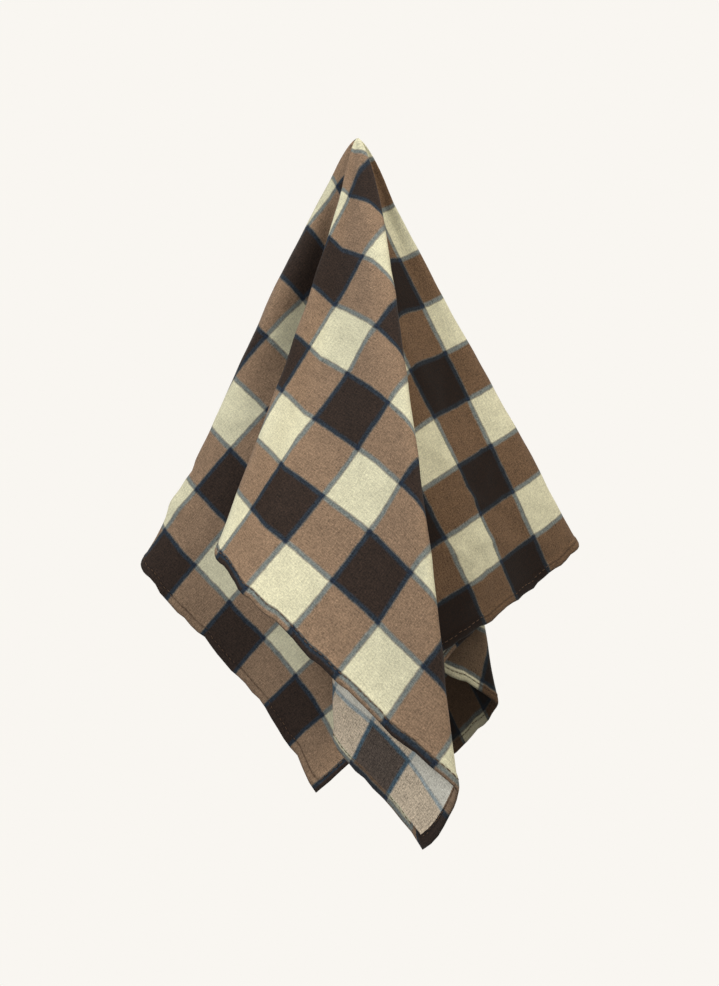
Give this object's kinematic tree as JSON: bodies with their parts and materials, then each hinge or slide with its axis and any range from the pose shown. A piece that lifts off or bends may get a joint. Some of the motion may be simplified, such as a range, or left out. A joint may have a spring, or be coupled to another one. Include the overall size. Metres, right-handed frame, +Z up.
{
  "type": "folded scarf",
  "caption": "Square check bandana hung from one pinched point, falling in loose folds with a narrow turned hem.",
  "frame": {"origin": "the pinched point that the cloth hangs from", "axes": "+Z up, +X across to the right of the side that is looked at, +Y away from it"},
  "size_m": [0.2596, 0.3122, 0.3988],
  "materials": {
    "scarf_cloth": "woven cotton, brown and cream check with thin blue lines, dull"
  },
  "bodies": {
    "root": {"scarf": "scarf_cloth"}
  },
  "joints": []
}
